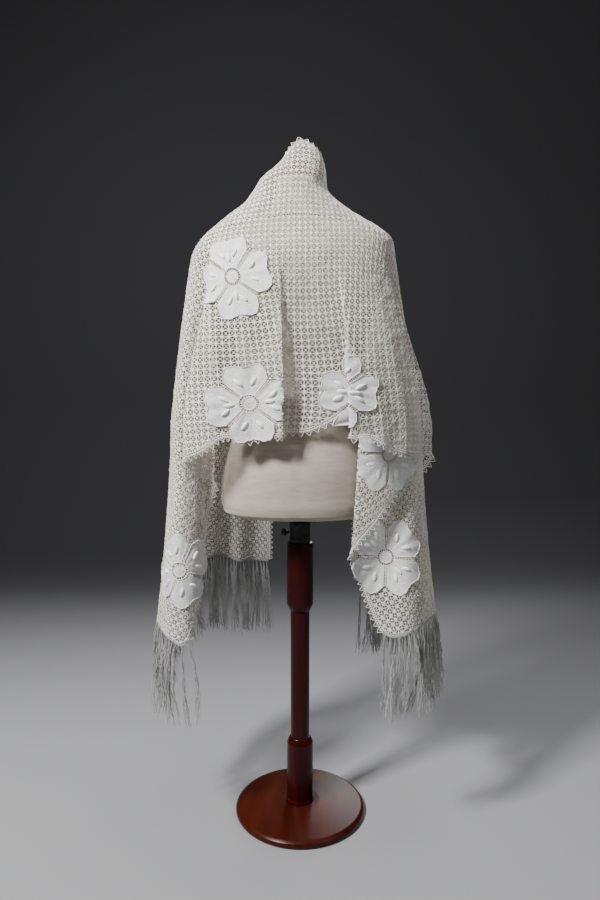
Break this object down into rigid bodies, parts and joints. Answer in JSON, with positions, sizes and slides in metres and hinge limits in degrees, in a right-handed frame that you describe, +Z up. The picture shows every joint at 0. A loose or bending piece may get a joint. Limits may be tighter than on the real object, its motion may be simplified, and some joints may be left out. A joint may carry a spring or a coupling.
{
  "type": "lace shawl on dress form stand",
  "caption": "Fringed white lace shawl with sewn-on flowers and looped edging, draped round a linen dress form on a turned wooden stand with a sliding mast.",
  "frame": {"origin": "centre of the underside of the round base, on the floor, on the axis of the post", "axes": "+Z up along the post; -Y the side seen in the picture, where the middle of the shawl hangs; +X to the right of that view"},
  "size_m": [0.6512, 0.3734, 1.5076],
  "materials": {
    "lace": "matt openwork cotton lace",
    "edging": "matt cotton cord",
    "cambric": "fine plain cotton with a faint sheen",
    "fringe": "soft crimped cotton thread",
    "linen": "matt slubbed linen",
    "piping": "matt cord",
    "dark_wood": "polished",
    "mahogany": "polished, dark red",
    "base_mahogany": "polished, red brown",
    "black_iron": "satin black",
    "knob": "satin, almost black"
  },
  "bodies": {
    "stand": {"base_disc": "base_mahogany", "lower_sleeve": "mahogany", "post": "mahogany", "upper_sleeve": "mahogany", "clamp_collar": "black_iron"},
    "knob": {"clamp_knob": "knob"},
    "mast": {"mast_rod": "black_iron"},
    "form": {"torso": "linen", "neck_piping": "piping", "neck_finial": "dark_wood", "form_plate": "black_iron", "stole_left_front": "lace", "stole_left_cascade": "lace", "stole_back": "lace", "stole_right_cascade": "lace", "stole_right_front": "lace", "edging_left_cascade": "edging", "edging_back_hem": "edging", "edging_right_cascade": "edging", "edging_neck": "edging", "edging_left_front": "edging", "edging_right_front": "edging", "fringe_left": "fringe", "fringe_right": "fringe", "flower_shoulder": "cambric", "flower_hem_left": "cambric", "flower_hem_fold": "cambric", "flower_hem_right": "cambric", "flower_under_right": "cambric", "flower_end_right": "cambric", "flower_end_left": "cambric"}
  },
  "joints": [
    {"name": "height_slide", "type": "slide", "parent": "stand", "child": "mast", "axis": [0, 0, 1], "range_m": [0, 0.2]},
    {"name": "form_turn", "type": "hinge", "parent": "mast", "child": "form", "pos_m": [0, 0, 0.704], "axis": [0, 0, 1], "continuous": true},
    {"name": "clamp_knob_turn", "type": "hinge", "parent": "stand", "child": "knob", "pos_m": [-0.0243, 0, 0.66], "axis": [-1, 0, 0], "range_deg": [0, 360]}
  ]
}
